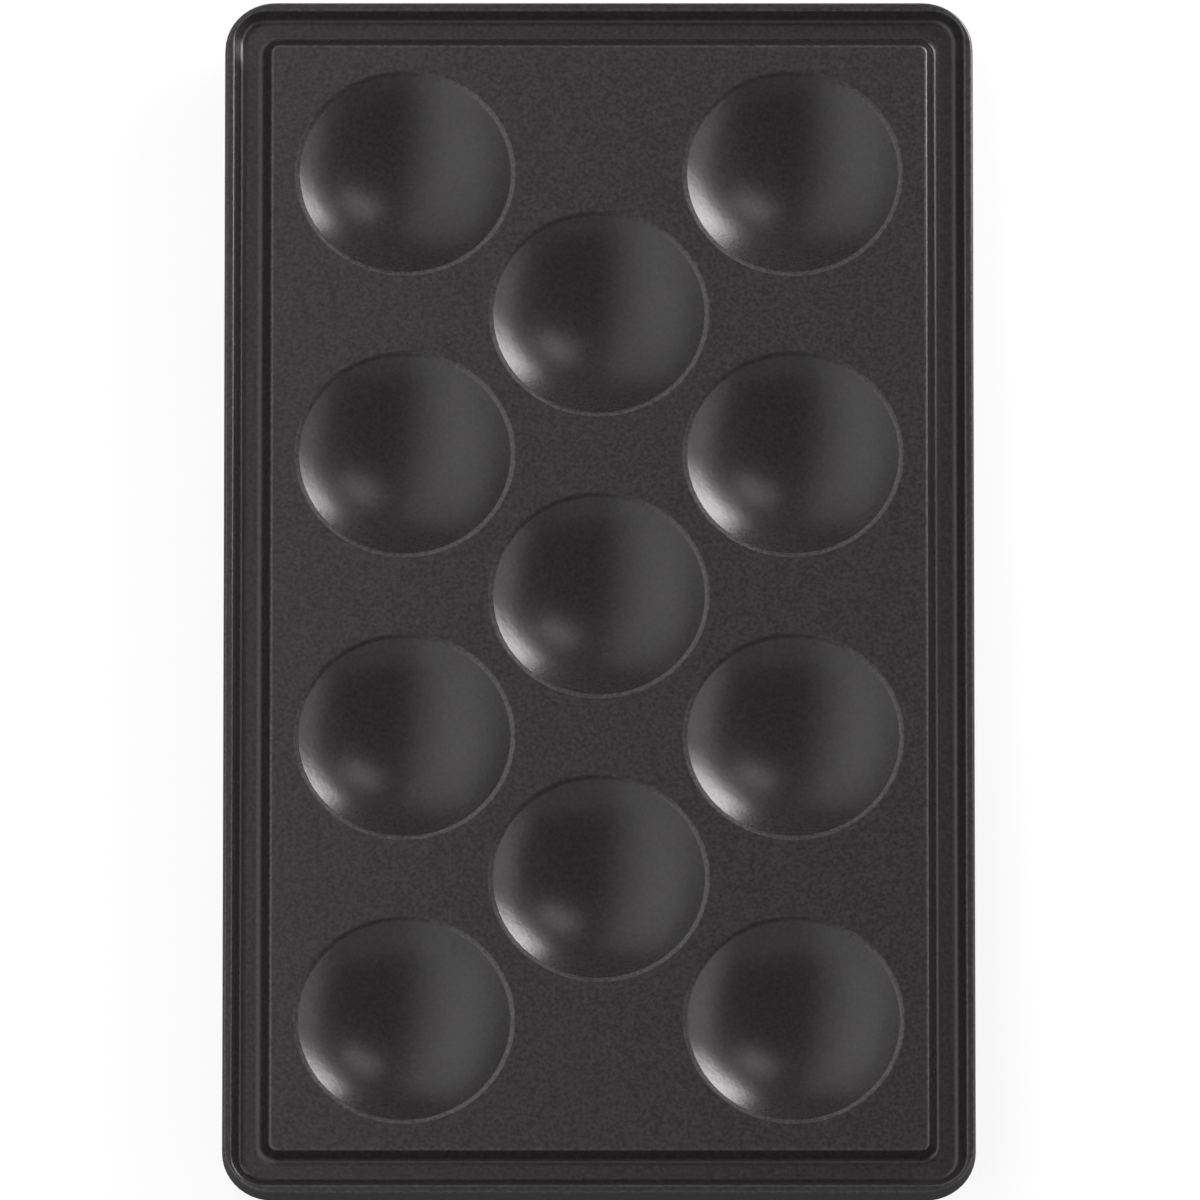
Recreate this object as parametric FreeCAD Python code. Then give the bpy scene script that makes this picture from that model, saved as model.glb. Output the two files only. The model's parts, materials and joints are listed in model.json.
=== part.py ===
import FreeCAD
import Part
import math
import os

# A removable baking plate for round bites: one aluminium casting and the non-stick coat fired onto it.
# Millimetres. X runs across the plate, Y along it and Z up. The plate stands on the rim of its skirt, at Z = 0.
# Sizes of the cooking side are those of the finished, coated surface.

# Bowls
BOWL_DIAMETER = 41.8
BOWL_DEPTH = 6.5
BOWL_RIM_ROUND = 1.8
LAND_BETWEEN_BOWLS = 5.8
DIAGONAL_ANGLE = 37.9
MIDDLE_BOWLS = 3

# Raised field that holds the bowls
SIDE_LAND = 5.0
END_LAND = 5.7
FIELD_CORNER = 1.4
FIELD_EDGE_ROUND = 0.9
FIELD_WALL = 3.2

# Channel round the field, and the lip outside it
CHANNEL_WIDTH = 7.45
CHANNEL_DEPTH = 2.4
CHANNEL_DRAFT = 37.0
CHANNEL_ROUND = 1.9
CHANNEL_WALL = 2.8
LIP_WIDTH = 1.6
LIP_ROUND = 0.6
LIP_CORNER = 6.5

# Flange that hangs in the machine's frame
EDGE_HEIGHT = 4.1
EDGE_DRAFT = 1.0
EDGE_CORNER = 9.8
SEAT_WIDTH = 3.2

# Domes under the bowls
BOWL_WALL = 3.0
DOME_ROOT_ROUND = 1.2
DOME_CLEARANCE = 0.7

# Skirt that the plate stands on
SKIRT_SETBACK = 3.0
SKIRT_WALL = 2.6
SKIRT_DRAFT = 1.5
SKIRT_RIM_ROUND = 0.5
SKIRT_ROOT_ROUND = 1.2

# Two tongues on one long side and a latch ledge on the other
TONGUE_WIDTH = 16.0
TONGUE_SPACING = 150.0
LEDGE_WIDTH = 44.0
CATCH_REACH = 3.6
CATCH_HEIGHT = 2.2
CATCH_SLOT = 2.4
CATCH_ROUND = 1.0

# Flat pads left by the ejector pins
PAD_DIAMETER = 7.0
PAD_HEIGHT = 0.4

# Non-stick coat
COAT = 0.1

# Worked out from the sizes above
plate_top = BOWL_DEPTH + BOWL_WALL + DOME_CLEARANCE
channel_floor = plate_top - CHANNEL_DEPTH
flange_underside = plate_top - EDGE_HEIGHT
field_underside = plate_top - FIELD_WALL
channel_underside = channel_floor - CHANNEL_WALL
catch_top = flange_underside - CATCH_SLOT
catch_bottom = catch_top - CATCH_HEIGHT

neighbour_distance = BOWL_DIAMETER + LAND_BETWEEN_BOWLS
column_offset = neighbour_distance * math.cos(math.radians(DIAGONAL_ANGLE))
row_step = neighbour_distance * math.sin(math.radians(DIAGONAL_ANGLE))
bowl_radius = BOWL_DIAMETER / 2
sphere_radius = (bowl_radius**2 + BOWL_DEPTH**2) / (2 * BOWL_DEPTH)
sphere_height = plate_top + sphere_radius - BOWL_DEPTH

field_width = 2 * column_offset + BOWL_DIAMETER + 2 * SIDE_LAND
field_length = 2 * MIDDLE_BOWLS * row_step + BOWL_DIAMETER + 2 * END_LAND
field_inset = LIP_WIDTH + CHANNEL_WIDTH
plate_width = field_width + 2 * field_inset
plate_length = field_length + 2 * field_inset
channel_run = CHANNEL_DEPTH * math.tan(math.radians(CHANNEL_DRAFT))
floor_width = CHANNEL_WIDTH - 2 * channel_run
belt_inset = SEAT_WIDTH
skirt_inset = belt_inset + SKIRT_SETBACK
hollow_inset = skirt_inset + SKIRT_WALL

# A fillet that would use up its wall is limited to this share of the wall
FILLET_LIMIT = 0.9

OVERSHOOT = 1.0
ON_LINE = 1e-4


def outline(inset, corner, height):
    """Rounded rectangle whose sides lie inset within the lip's outer top edge."""
    x = plate_width / 2 - inset
    y = plate_length / 2 - inset
    edges = []
    for quarter in range(4):
        turn = FreeCAD.Rotation(FreeCAD.Vector(0, 0, 1), 90 * quarter)
        reach, next_reach = (x, y) if quarter % 2 == 0 else (y, x)
        centre = FreeCAD.Vector(reach - corner, next_reach - corner, 0)
        arc_points = []
        for degrees in (0, 45, 90):
            angle = math.radians(degrees)
            spoke = FreeCAD.Vector(math.cos(angle), math.sin(angle), 0) * corner
            arc_points.append(turn.multVec(centre + spoke) + FreeCAD.Vector(0, 0, height))
        side_start = turn.multVec(FreeCAD.Vector(reach, corner - next_reach, height))
        edges.append(Part.makeLine(side_start, arc_points[0]))
        edges.append(Part.Arc(*arc_points).toShape())
    return Part.Wire(edges)


def block(lower, upper):
    """Solid between two rounded rectangles."""
    return Part.makeLoft([lower, upper], True, True)


def edges_on(shape, line):
    """The edges of a shape that lie along a wire."""
    found = []
    for edge in shape.Edges:
        first, last = edge.ParameterRange
        points = [edge.valueAt(first + (last - first) * share) for share in (0.0, 0.5, 1.0)]
        if all(Part.Vertex(point).distToShape(line)[0] < ON_LINE for point in points):
            found.append(edge)
    return found


def rounded(shape, radius, lines):
    """Rounds the edges of a shape that lie along the given wires."""
    edges = []
    for line in lines:
        edges += edges_on(shape, line)
    return shape.makeFillet(radius, edges)


def bowl_places():
    """Centres of the bowls: two outer columns, and a middle column half a row out of step."""
    places = []
    for side in (-1, 1):
        for row in range(MIDDLE_BOWLS + 1):
            places.append((side * column_offset, (2 * row - MIDDLE_BOWLS) * row_step))
    for row in range(MIDDLE_BOWLS):
        places.append((0.0, (2 * row - MIDDLE_BOWLS + 1) * row_step))
    return places


def cap(place, radius, height):
    """Lower part of a sphere on a bowl's centre, cut level at the given height."""
    latitude = math.degrees(math.asin((height - sphere_height) / radius))
    centre = FreeCAD.Vector(place[0], place[1], sphere_height)
    return Part.makeSphere(radius, centre, FreeCAD.Vector(0, 0, 1), -90, latitude, 360)


def circle(place, radius, height):
    """Level circle on a bowl's centre, as a wire."""
    centre = FreeCAD.Vector(place[0], place[1], height)
    return Part.Wire(Part.makeCircle(radius, centre))


def edge_outline(height, under_surface):
    """Outline of the plate's drafted outer edge, at a depth under its finished surface."""
    draft = math.radians(EDGE_DRAFT)
    spread = (plate_top - height) * math.tan(draft) - under_surface / math.cos(draft)
    return outline(-spread, EDGE_CORNER + spread, height)


def carved(blank, under_surface):
    """Cuts the cooking side into a blank, at a depth under its finished surface, and rounds its edges."""
    top = plate_top - under_surface
    floor = channel_floor - under_surface
    draft = math.radians(CHANNEL_DRAFT)
    shift = under_surface * (1 - math.sin(draft)) / math.cos(draft)

    lip_inset = LIP_WIDTH - shift
    lip_corner = LIP_CORNER + shift
    lip_line = outline(lip_inset, lip_corner, top)
    lip_foot = outline(lip_inset + channel_run, lip_corner - channel_run, floor)
    field_edge = field_inset + shift
    field_corner = max(FIELD_CORNER - shift, ON_LINE)
    field_line = outline(field_edge, field_corner, top)
    field_foot = outline(field_edge - channel_run, field_corner + channel_run, floor)
    groove = block(lip_foot, lip_line).cut(block(field_foot, field_line))

    radius = sphere_radius + under_surface
    mouth = math.sqrt(radius**2 - (sphere_height - top) ** 2)
    bowls = [cap(place, radius, top + OVERSHOOT) for place in bowl_places()]
    rims = [circle(place, mouth, top) for place in bowl_places()]

    fillet_room = floor_width / 2 / math.tan((math.pi / 2 - draft) / 2)
    channel_round = min(CHANNEL_ROUND + under_surface, FILLET_LIMIT * fillet_room)
    lip_round = min(LIP_ROUND, FILLET_LIMIT * LIP_WIDTH / 2) - under_surface
    shape = blank.cut([groove] + bowls)
    shape = rounded(shape, channel_round, [lip_foot, field_foot])
    shape = rounded(shape, lip_round, [lip_line, edge_outline(top, under_surface)])
    shape = rounded(shape, FIELD_EDGE_ROUND - under_surface, [field_line])
    return rounded(shape, BOWL_RIM_ROUND - under_surface, rims)


def catch(side, middle, width):
    """Cast catch under the flange: a flat tongue that stands out from the skirt."""
    skirt_face = plate_width / 2 - skirt_inset
    length = CATCH_REACH + SKIRT_WALL / 2
    start = min(side * (skirt_face + CATCH_REACH), side * (skirt_face - SKIRT_WALL / 2))
    corner = FreeCAD.Vector(start, middle - width / 2, catch_bottom)
    tongue = Part.makeBox(length, width, CATCH_HEIGHT, corner)
    tip = side * (skirt_face + CATCH_REACH)
    tip_edges = []
    for end in (-1, 1):
        foot = FreeCAD.Vector(tip, middle + end * width / 2, catch_bottom)
        head = foot + FreeCAD.Vector(0, 0, CATCH_HEIGHT)
        tip_edges.append(Part.Wire(Part.makeLine(foot, head)))
    return rounded(tongue, CATCH_ROUND, tip_edges)


def ejector_pads():
    """Round pads under the field, in the middle of the lands between bowls of one column."""
    pads = []
    for place in bowl_places():
        next_up = (place[0], place[1] + 2 * row_step)
        if next_up[1] < MIDDLE_BOWLS * row_step + row_step / 2:
            middle = FreeCAD.Vector(place[0], place[1] + row_step, field_underside - PAD_HEIGHT)
            pads.append(Part.makeCylinder(PAD_DIAMETER / 2, PAD_HEIGHT + FIELD_WALL / 2, middle))
    return pads


def make_casting():
    """The aluminium plate, without its coat."""
    top = plate_top - COAT
    draft_run = math.tan(math.radians(SKIRT_DRAFT))
    flange = block(edge_outline(flange_underside, COAT), edge_outline(top, COAT))

    belt_corner = EDGE_CORNER - belt_inset
    skirt_corner = belt_corner - SKIRT_SETBACK
    hollow_corner = max(skirt_corner - SKIRT_WALL, FIELD_CORNER)
    belt = block(
        outline(belt_inset, belt_corner, channel_underside),
        outline(belt_inset, belt_corner, channel_floor - CHANNEL_WALL / 2),
    )
    skirt_taper = channel_underside * draft_run
    skirt_rim = outline(skirt_inset + skirt_taper, skirt_corner - skirt_taper, 0)
    skirt = block(skirt_rim, outline(skirt_inset, skirt_corner, channel_underside))
    skirt_top = block(
        outline(skirt_inset, skirt_corner, channel_underside),
        outline(skirt_inset, skirt_corner, channel_floor - CHANNEL_WALL / 2),
    )

    hollow_taper = field_underside * draft_run
    hollow_roof = outline(hollow_inset + hollow_taper, hollow_corner, field_underside)
    hollow_mouth = outline(hollow_inset, hollow_corner + hollow_taper, 0)
    hollow = rounded(block(hollow_mouth, hollow_roof), SKIRT_ROOT_ROUND, [hollow_roof])

    frame = flange.fuse([belt, skirt, skirt_top]).removeSplitter().cut(hollow)
    frame = rounded(frame, SKIRT_RIM_ROUND, [skirt_rim, hollow_mouth])

    dome_radius = sphere_radius + BOWL_WALL
    inside_field = plate_top - FIELD_WALL / 2
    domes = [cap(place, dome_radius, inside_field) for place in bowl_places()]
    dome_foot = math.sqrt(dome_radius**2 - (sphere_height - field_underside) ** 2)
    feet = [circle(place, dome_foot, field_underside) for place in bowl_places()]
    blank = rounded(frame.fuse(domes), DOME_ROOT_ROUND, feet)

    catches = [catch(-1, end * TONGUE_SPACING / 2, TONGUE_WIDTH) for end in (-1, 1)]
    catches.append(catch(1, 0, LEDGE_WIDTH))
    blank = blank.fuse(catches + ejector_pads())
    return carved(blank, COAT)


def make_coating():
    """The coat: the skin between the finished surface and the metal, down to the flange's underside."""
    solid_block = block(edge_outline(0, 0), edge_outline(plate_top, 0))
    core_block = block(edge_outline(-OVERSHOOT, COAT), edge_outline(plate_top - COAT, COAT))
    skin = carved(solid_block, 0).cut(carved(core_block, COAT))

    clear = -EDGE_HEIGHT
    below_flange = block(
        outline(clear, EDGE_CORNER, -OVERSHOOT),
        outline(clear, EDGE_CORNER, flange_underside),
    )
    within_field = block(
        outline(field_inset, FIELD_CORNER, -OVERSHOOT),
        outline(field_inset, FIELD_CORNER, flange_underside),
    )
    return skin.cut(below_flange.cut(within_field))


os.makedirs("parts", exist_ok=True)
parts = {
    "plate_casting": make_casting(),
    "nonstick_coating": make_coating(),
}
for name, shape in parts.items():
    shape.exportStep(f"parts/{name}.step")
    size = shape.BoundBox
    print(
        f"{name}: {len(shape.Solids)} solid, valid {shape.isValid()}, {shape.Volume / 1000:.2f} cm3, "
        f"{size.XLength:.2f} x {size.YLength:.2f} x {size.ZLength:.2f} mm"
    )
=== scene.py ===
# %% [markdown]
# # A baking plate for round bites
#
# The real object is one aluminium casting with a dark non-stick coat fired onto its cooking side. There is
# nothing to take apart and nothing that moves, so this lesson is about two finishes, and about the light that
# makes a dark, satin, hollow surface readable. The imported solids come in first, because the finishes are
# placed by measures that are read from them.

import json
import math

import bpy
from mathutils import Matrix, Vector


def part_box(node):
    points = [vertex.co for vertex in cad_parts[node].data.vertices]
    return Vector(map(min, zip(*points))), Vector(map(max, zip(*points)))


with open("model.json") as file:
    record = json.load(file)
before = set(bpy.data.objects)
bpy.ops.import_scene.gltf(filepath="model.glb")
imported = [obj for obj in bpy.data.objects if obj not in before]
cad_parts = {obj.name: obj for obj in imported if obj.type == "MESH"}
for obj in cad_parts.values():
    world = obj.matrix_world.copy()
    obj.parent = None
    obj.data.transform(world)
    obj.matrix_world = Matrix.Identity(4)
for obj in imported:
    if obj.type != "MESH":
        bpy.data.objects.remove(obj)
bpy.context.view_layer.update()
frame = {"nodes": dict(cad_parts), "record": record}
MM = 0.001
coat = frame["nodes"]["nonstick_coating"]
casting = frame["nodes"]["plate_casting"]
plate_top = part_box("nonstick_coating")[1].z
print("pieces:", sorted(frame["nodes"]), "top of the plate at", round(plate_top / MM, 2), "mm")

# %% [markdown]
# ## The camera
#
# The bowls are circles, so the height of their mouths against their width gives the tilt of the view. The two
# ends of the plate are equally wide, which means that the picture was taken from far away with a long lens.
# The distance then follows from how much of the plate's plane fits in the frame. An orthographic camera would
# show the ends equally wide too, but it has no distance, and the views from other sides need one.

# %% Place the camera
VIEW_ELEVATION = math.radians(68.9)
FRAME_WIDTH = 232.0 * MM
LENS = 1500.0
SENSOR = 36.0
FLANGE_HEIGHT = 4.1 * MM
SIDE_SHIFT = 0.21 * MM
END_SHIFT = -0.25 * MM
CLIP_REACH = 3

camera_data = bpy.data.cameras.new("camera")
camera_data.lens = LENS
camera_data.sensor_width = SENSOR
camera = bpy.data.objects.new("camera", camera_data)
bpy.context.scene.collection.objects.link(camera)
aim = Vector((SIDE_SHIFT, END_SHIFT, plate_top - FLANGE_HEIGHT / 2))
camera_distance = FRAME_WIDTH * LENS / SENSOR
towards_camera = Vector((0, -math.cos(VIEW_ELEVATION), math.sin(VIEW_ELEVATION)))
camera.location = aim + towards_camera * camera_distance
camera.rotation_euler = (math.pi / 2 - VIEW_ELEVATION, 0, 0)
camera_data.clip_end = CLIP_REACH * camera_distance
bpy.context.scene.camera = camera
print("camera stands", round(camera_distance, 2), "m away")

# %% [markdown]
# ## The ground
#
# The plate lies on a white sweep. To the camera and in reflections the ground is nearly plain white, and a
# matt part of its material catches the plate's soft shadow. More light would make a grey floor white as well,
# but it would also fall on the plate. Mixing the two parts by the kind of ray keeps the white of the picture
# apart from the light.

# %% Helpers for node materials


def material(name):
    """An empty node material and its tree, ready for a shader."""
    made = bpy.data.materials.new(name)
    made.use_nodes = True
    made.node_tree.nodes.clear()
    return made, made.node_tree


def feed(tree, socket, value):
    """Link another node's output to a socket, or set a fixed value on it."""
    if isinstance(value, bpy.types.NodeSocket):
        tree.links.new(value, socket)
    else:
        socket.default_value = value


def node(tree, kind, **inputs):
    """A node of a kind, with its sockets fed by name."""
    made = tree.nodes.new(kind)
    for socket, value in inputs.items():
        feed(tree, made.inputs[socket.replace("_", " ")], value)
    return made


def calculate(tree, operation, first, second=0.0):
    """The result of one sum with two numbers or other nodes' outputs."""
    made = tree.nodes.new("ShaderNodeMath")
    made.operation = operation
    feed(tree, made.inputs[0], first)
    feed(tree, made.inputs[1], second)
    return made.outputs[0]


print("helpers ready for", len(frame["nodes"]), "pieces and the ground")

# %% Lay the ground
FLOOR_SIZE = 4.0
PAPER_COLOUR = (0.85, 0.85, 0.85, 1)
WHITE = (1, 1, 1, 1)
WHITE_SHARE = 0.8

bpy.ops.mesh.primitive_plane_add(size=FLOOR_SIZE)
ground = bpy.context.object
ground.name = "ground"
ground_paper, tree = material("ground_paper")
rays = node(tree, "ShaderNodeLightPath").outputs
seen_or_mirrored = calculate(tree, "MAXIMUM", rays["Is Camera Ray"], rays["Is Glossy Ray"])
visible = calculate(tree, "MAXIMUM", seen_or_mirrored, rays["Is Transmission Ray"])
paper = node(tree, "ShaderNodeBsdfDiffuse", Color=PAPER_COLOUR)
white = node(tree, "ShaderNodeEmission", Color=WHITE, Strength=1.0)
mix = tree.nodes.new("ShaderNodeMixShader")
feed(tree, mix.inputs[0], calculate(tree, "MULTIPLY", visible, WHITE_SHARE))
feed(tree, mix.inputs[1], paper.outputs[0])
feed(tree, mix.inputs[2], white.outputs[0])
node(tree, "ShaderNodeOutputMaterial", Surface=mix.outputs[0])
ground.data.materials.append(ground_paper)
print("ground laid,", FLOOR_SIZE, "m square")

# %% Light the room a little
ROOM_LIGHT = 0.2

world = bpy.data.worlds.new("studio")
world.use_nodes = True
bpy.context.scene.world = world
background = world.node_tree.nodes["Background"]
background.inputs["Color"].default_value = WHITE
background.inputs["Strength"].default_value = ROOM_LIGHT
bpy.context.scene.view_settings.view_transform = "Standard"
print("room light set to", ROOM_LIGHT)

# %% [markdown]
# ## The studio light
#
# A satin hollow mirrors its surroundings, small and upside down. The bright crescents at the lower left of
# all eleven bowls are the picture of one low, bright softbox at the upper right, and their slow turn from
# bowl to bowl shows that it stands close. Four dimmer ones shape the rest: a long one at the right for the
# left walls, one high behind for the soft spot beside each crescent, a broad one at the left for the right
# half of each bowl, and a weak one in front. A picture wrapped round the scene could give the same
# reflections, but area lamps are easier to move one at a time. A real softbox fades towards its edges, and a
# single lamp would draw a hard line in the coat, so each box is a stack of lamps of growing size, a little
# apart so that none hides another.

# %% Hang the softboxes
SHEETS = 5
SHEET_GAP = 3 * MM
LAMP_TINT = (1.0, 0.975, 0.988)


def softbox(name, azimuth, elevation, distance, width, height, radiance, softness=0.3):
    """A stack of lamps that face the plate's middle, placed by angles in degrees and lengths in metres."""
    turn, lift = math.radians(azimuth), math.radians(elevation)
    flat = math.cos(lift)
    direction = Vector((flat * math.cos(turn), flat * math.sin(turn), math.sin(lift)))
    for number in range(SHEETS):
        size = 1 + softness * (2 * number / (SHEETS - 1) - 1)
        lamp = bpy.data.lights.new(f"{name}_{number + 1}", "AREA")
        lamp.shape = "RECTANGLE"
        lamp.color = LAMP_TINT
        lamp.size = width * size
        lamp.size_y = height * size
        lamp.energy = radiance / SHEETS * math.pi * lamp.size * lamp.size_y
        sheet = bpy.data.objects.new(lamp.name, lamp)
        sheet.location = Vector((0, 0, plate_top)) + direction * (distance + number * SHEET_GAP)
        sheet.rotation_euler = direction.to_track_quat("Z", "Y").to_euler()
        bpy.context.scene.collection.objects.link(sheet)
    print(name, "hangs", round(distance * math.sin(lift), 2), "m above the plate")


softbox("key_softbox", azimuth=44.8, elevation=11.5, distance=0.5, width=0.26, height=0.15, radiance=25.0)
softbox("right_softbox", azimuth=-10, elevation=30.5, distance=0.6, width=0.74, height=0.21, radiance=3.1)
softbox("upper_softbox", azimuth=60, elevation=43.5, distance=1.5, width=0.48, height=0.36, radiance=3.7)
softbox(
    "left_softbox", azimuth=176, elevation=52, distance=0.42, width=1.1, height=0.33, radiance=2.5,
    softness=0.6,
)
softbox("front_softbox", azimuth=278, elevation=45, distance=0.6, width=0.6, height=0.26, radiance=0.9)

# %% [markdown]
# ## Where the coat differs
#
# The real coat isn't the same all over. The flats are a little rougher than the bowls, the outer edge, which
# the spray reaches dry, is nearly matt, and rounded edges are a lighter grey, partly as wear and partly as a
# painted highlight. On the back-left side of each bowl's rim that lighter grey is left out, as painted shade.
# Masks for this could be painted on the mesh by hand. Here they are worked out from a point's height and
# the way it faces, so they fit the imported shape whatever its size.

# %% Find the bowls
BOWL_MARGIN = 12 * MM

openings = frame["record"]["physics"]["openings"]
bowl_boxes = [opening["box_m"] for opening in openings if opening["name"].startswith("bowl")]
bowl_reach_x = max(high[0] for low, high in bowl_boxes) + BOWL_MARGIN
bowl_reach_y = max(high[1] for low, high in bowl_boxes) + BOWL_MARGIN
print("bowls lie within", round(bowl_reach_x / MM, 1), "and", round(bowl_reach_y / MM, 1), "mm of the middle")

# %% Read a point's height and the way it faces


def survey(tree):
    """A point's place, the parts of that place, the way its surface faces, and how far that is upwards."""
    place = node(tree, "ShaderNodeTexCoord").outputs["Object"]
    spot = node(tree, "ShaderNodeSeparateXYZ", Vector=place).outputs
    normal = node(tree, "ShaderNodeNewGeometry").outputs["Normal"]
    upward = node(tree, "ShaderNodeSeparateXYZ", Vector=normal).outputs["Z"]
    return place, spot, normal, upward


def ramp(tree, value, start, end, low=0.0, high=1.0):
    """A number that runs from low to high, and no further, while another runs from start to end."""
    made = node(tree, "ShaderNodeMapRange", Value=value, From_Min=start, From_Max=end)
    feed(tree, made.inputs["To Min"], low)
    feed(tree, made.inputs["To Max"], high)
    return made.outputs["Result"]


def leaning(degrees):
    """How far upwards a surface faces when it leans by an angle."""
    return math.cos(math.radians(degrees))


print("a flat faces upwards by", leaning(0), "and a slope of 30 degrees by", round(leaning(30), 3))

# %% Mask the flats and the outer edge
HOLLOW_START = plate_top - 0.2 * MM
HOLLOW_FULL = plate_top - 0.9 * MM
FLAT_LEAN = 5.7
SLOPE_LEAN = 15.2
DRY_START_LEAN = 60
DRY_FULL_LEAN = 78.5


def field_mask(tree, spot):
    """One on the field that holds the bowls, nought outside it."""
    within = []
    for axis, reach in (("X", bowl_reach_x), ("Y", bowl_reach_y)):
        off_middle = calculate(tree, "ABSOLUTE", spot[axis])
        within.append(calculate(tree, "LESS_THAN", off_middle, reach))
    return calculate(tree, "MULTIPLY", *within)


def flat_mask(tree, spot, upward, field):
    """One on the field, the channel's floor and the lip, nought on slopes and in the bowls."""
    deep = ramp(tree, spot["Z"], HOLLOW_START, HOLLOW_FULL)
    hollow = calculate(tree, "MULTIPLY", field, deep)
    level = ramp(tree, upward, leaning(SLOPE_LEAN), leaning(FLAT_LEAN))
    return calculate(tree, "MULTIPLY", level, calculate(tree, "SUBTRACT", 1.0, hollow))


def dry_mask(tree, upward):
    """One on the upright outer edge, nought on all that the spray hits squarely."""
    return ramp(tree, upward, leaning(DRY_START_LEAN), leaning(DRY_FULL_LEAN))


print("flats lean by less than", SLOPE_LEAN, "degrees, the dry edge by more than", DRY_START_LEAN)

# %% Mask the edges lightened for wear and a painted highlight
WEAR_AND_HIGHLIGHT_START = plate_top - 0.34 * MM
WEAR_AND_HIGHLIGHT_FULL = plate_top - 0.2 * MM
EDGE_START_LEAN = 3.6
EDGE_FULL_LEAN = 9.9
# On the back-left side of each bowl's rim the lighter grey is left out: painted shade.
SHADED_SIDE = (-0.375, 0.927, 0)
SHADED_MIDDLE = -1.0
SHADED_END = -0.6


def steer(tree, operation, vector, other=(0, 0, 0)):
    """A node that does one sum with a vector from another node and a fixed one."""
    made = tree.nodes.new("ShaderNodeVectorMath")
    made.operation = operation
    feed(tree, made.inputs[0], vector)
    feed(tree, made.inputs[1], other)
    return made


def wear_and_highlight_mask(tree, spot, normal, upward, field):
    """One on rounded edges near the top, lightened for wear and a painted highlight; nought on the back-left
    side of each bowl's rim, left dark as painted shade.
    """
    near_top = ramp(tree, spot["Z"], WEAR_AND_HIGHLIGHT_START, WEAR_AND_HIGHLIGHT_FULL)
    bent = ramp(tree, upward, leaning(EDGE_START_LEAN), leaning(EDGE_FULL_LEAN))
    sideways = steer(tree, "MULTIPLY", normal, (1, 1, 0)).outputs["Vector"]
    heading = steer(tree, "NORMALIZE", sideways).outputs["Vector"]
    towards_shaded_side = steer(tree, "DOT_PRODUCT", heading, SHADED_SIDE).outputs["Value"]
    # Painted shade: no lightening where a rim's rounded edge faces the front right.
    lit_side = ramp(tree, towards_shaded_side, SHADED_MIDDLE, SHADED_END)
    worn_and_lit = calculate(tree, "MAXIMUM", lit_side, calculate(tree, "SUBTRACT", 1.0, field))
    return calculate(tree, "MULTIPLY", calculate(tree, "MULTIPLY", near_top, bent), worn_and_lit)


print("wear reaches", round((plate_top - WEAR_AND_HIGHLIGHT_START) / MM, 2), "mm below the top")

# %% [markdown]
# ## The non-stick coat
#
# The real coat is a fluoropolymer, sprayed on and fired: nearly black, satin, with a fine orange-peel skin
# and a faint grey speckle. Such a polymer bends light little, so its gloss is weak, and its index is set low.
# The skin could be modelled, but its ripples are far thinner than the coat, so it is a bump from two noises,
# one at the size of the spray's ripples and one at the size of its grain. The grain also gives the speckle.

# %% Mix the coat's colours
COAT_TINT = (1.0, 0.92, 0.96)
SPECKLE_START = 0.35
SPECKLE_END = 0.7
BOWL_GREYS = (0.0115, 0.0195)
FLAT_GREYS = (0.011, 0.028)
# The lighter grey of rounded edges is partly wear and partly a painted highlight.
WORN_AND_HIGHLIGHT_GREYS = (0.02, 0.05)


def noise(tree, place, scale, detail, roughness, distortion=0.0):
    """A noise with so many waves to the metre."""
    made = node(tree, "ShaderNodeTexNoise", Vector=place, Scale=scale, Detail=detail, Roughness=roughness)
    made.inputs["Distortion"].default_value = distortion
    return made.outputs["Fac"]


def shades(tree, value, start, end, greys, tint):
    """A tinted grey that runs from the first to the second while a noise runs from start to end."""
    made = node(tree, "ShaderNodeValToRGB", Fac=value)
    for stop, position, grey in zip(made.color_ramp.elements, (start, end), greys):
        stop.position = position
        stop.color = (*(grey * share for share in tint), 1)
    return made.outputs["Color"]


def overlay(tree, mask, under, over):
    """One colour laid over another, as far as a mask lets it."""
    return node(tree, "ShaderNodeMixRGB", Fac=mask, Color1=under, Color2=over).outputs["Color"]


def coat_colour(tree, grain, flats, wear_and_highlight):
    """Speckled greys for bowls, flats, and edges lightened for wear and a painted highlight."""
    bowl, flat, worn_and_lit = (
        shades(tree, grain, SPECKLE_START, SPECKLE_END, greys, COAT_TINT)
        for greys in (BOWL_GREYS, FLAT_GREYS, WORN_AND_HIGHLIGHT_GREYS)
    )
    return overlay(tree, wear_and_highlight, overlay(tree, flats, bowl, flat), worn_and_lit)


print("coat greys from", min(BOWL_GREYS + FLAT_GREYS), "to", max(WORN_AND_HIGHLIGHT_GREYS))

# %% Put the coat together
COAT_INDEX = 1.36
RIPPLE_SCALE = 700.0
GRAIN_SCALE = 1300.0
DRIFT_SCALE = 18.0
GLOSSIEST = 0.23
DULLEST = 0.29
FLAT_ROUGHER = 0.12
DRY_ROUGHER = 0.6
RIPPLE_HEIGHT = 0.2 * MM
GRAIN_HEIGHT = 0.05 * MM


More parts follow.
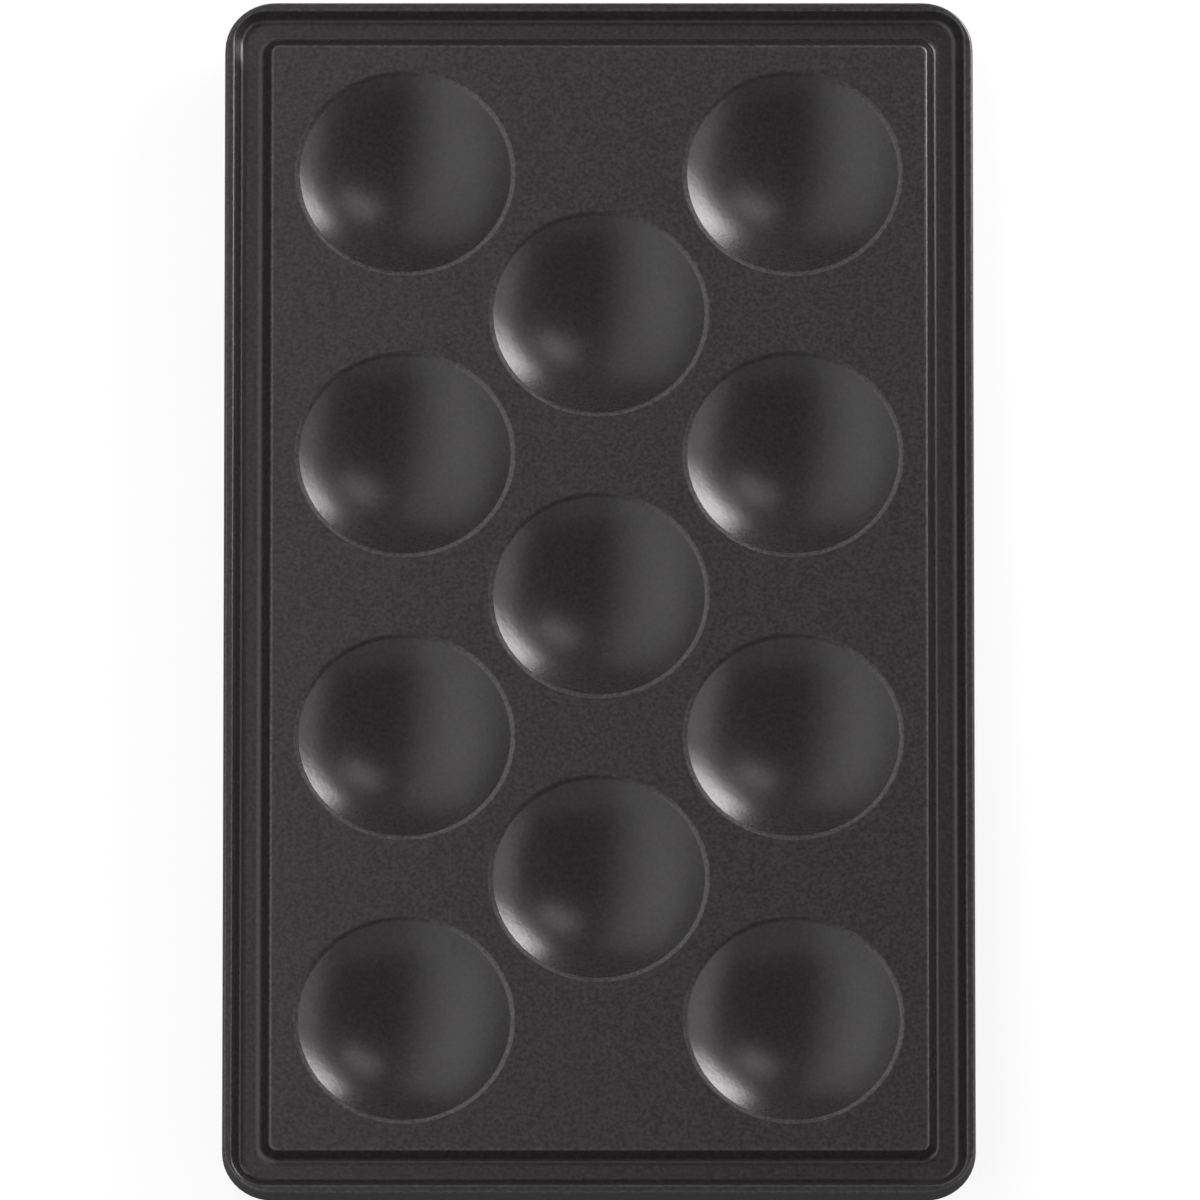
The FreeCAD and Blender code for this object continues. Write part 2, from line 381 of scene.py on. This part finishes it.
def satin_coat():
    """The fired coat, with its speckle, its satin gloss and its skin."""
    made, tree = material("satin_coat")
    place, spot, normal, upward = survey(tree)
    ripple = noise(tree, place, RIPPLE_SCALE, detail=2.0, roughness=0.5)
    grain = noise(tree, place, GRAIN_SCALE, detail=2.0, roughness=0.6)
    drift = noise(tree, place, DRIFT_SCALE, detail=3.0, roughness=0.5)
    field = field_mask(tree, spot)
    flats = flat_mask(tree, spot, upward, field)
    colour = coat_colour(tree, grain, flats, wear_and_highlight_mask(tree, spot, normal, upward, field))
    satin = ramp(tree, drift, 0.0, 1.0, GLOSSIEST, DULLEST)
    rougher = calculate(tree, "ADD", satin, calculate(tree, "MULTIPLY", flats, FLAT_ROUGHER))
    dry = calculate(tree, "MULTIPLY", dry_mask(tree, upward), DRY_ROUGHER)
    gloss = calculate(tree, "ADD", rougher, dry)
    peel = node(tree, "ShaderNodeBump", Strength=0.1, Distance=RIPPLE_HEIGHT, Height=ripple)
    skin = node(tree, "ShaderNodeBump", Strength=0.28, Distance=GRAIN_HEIGHT, Height=grain)
    feed(tree, skin.inputs["Normal"], peel.outputs[0])
    body = node(tree, "ShaderNodeBsdfPrincipled", IOR=COAT_INDEX, Base_Color=colour, Roughness=gloss)
    feed(tree, body.inputs["Normal"], skin.outputs[0])
    node(tree, "ShaderNodeOutputMaterial", Surface=body.outputs[0])
    return made


def dress(piece, finish):
    """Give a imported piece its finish, and leave its shape alone."""
    piece.data.materials.clear()
    piece.data.materials.append(finish)
    print(finish.name, "covers", len(piece.data.polygons), "faces of", piece.name)


dress(coat, satin_coat())

# %% [markdown]
# ## The bare casting
#
# The underside is bare aluminium, as it comes out of the die: dull, slightly mottled, with cloudy flow marks.
# One even grey would look like paint. A large, twisted noise gives the clouds in its colour and roughness,
# and a fine one gives the grit of the die's surface.

# %% Mix the metal
METAL_TINT = (1.0, 1.0, 1.012)
METAL_GREYS = (0.3, 0.48)
CLOUD_START = 0.3
CLOUD_END = 0.75
CLOUD_SCALE = 28.0
GRIT_SCALE = 1500.0
GRIT_HEIGHT = 0.1 * MM
METAL_GLOSSIEST = 0.42
METAL_DULLEST = 0.62


def cast_metal():
    """Bare cast aluminium with flow marks and a fine grit."""
    made, tree = material("cast_metal")
    place = node(tree, "ShaderNodeTexCoord").outputs["Object"]
    clouds = noise(tree, place, CLOUD_SCALE, detail=5.0, roughness=0.6, distortion=1.2)
    grit = noise(tree, place, GRIT_SCALE, detail=3.0, roughness=0.6)
    colour = shades(tree, clouds, CLOUD_START, CLOUD_END, METAL_GREYS, METAL_TINT)
    gloss = ramp(tree, clouds, 0.0, 1.0, METAL_GLOSSIEST, METAL_DULLEST)
    skin = node(tree, "ShaderNodeBump", Strength=0.25, Distance=GRIT_HEIGHT, Height=grit)
    body = node(tree, "ShaderNodeBsdfPrincipled", Metallic=1.0, Base_Color=colour, Roughness=gloss)
    feed(tree, body.inputs["Normal"], skin.outputs[0])
    node(tree, "ShaderNodeOutputMaterial", Surface=body.outputs[0])
    return made


dress(casting, cast_metal())
